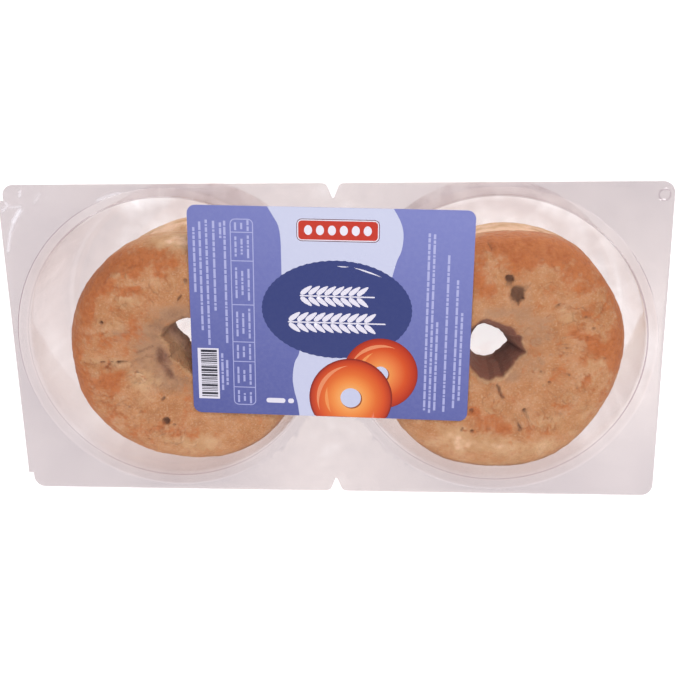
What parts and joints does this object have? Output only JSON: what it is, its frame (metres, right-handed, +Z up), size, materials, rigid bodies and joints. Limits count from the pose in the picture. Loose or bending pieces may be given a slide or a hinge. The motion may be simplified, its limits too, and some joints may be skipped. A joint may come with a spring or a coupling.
{
  "type": "pack of bagels",
  "caption": "Clear sealed food pack: round wells side by side in a formed plastic tray, each holding stacked bagels, under a flat clear film with a printed label.",
  "frame": {"origin": "middle of the pack's footprint, on the surface that the floors of the wells rest on", "axes": "+Z up through the label, +X along the pack's long side, +Y towards the long side that the label sits nearer to"},
  "size_m": [0.282, 0.14, 0.0623],
  "materials": {
    "tray_plastic": "clear formed polyester sheet, glossy",
    "film_plastic": "clear sealed film, glossy, slightly rippled",
    "label_print": "coated paper label with flat printed colour fields",
    "bagel_crust": "baked bread crust, satin, tan with orange-brown patches"
  },
  "bodies": {
    "root": {"tray": "tray_plastic", "lid_film": "film_plastic", "label": "label_print", "bagel_right_upper": "bagel_crust", "bagel_left_upper": "bagel_crust", "bagel_right_lower": "bagel_crust", "bagel_left_lower": "bagel_crust"}
  },
  "joints": []
}
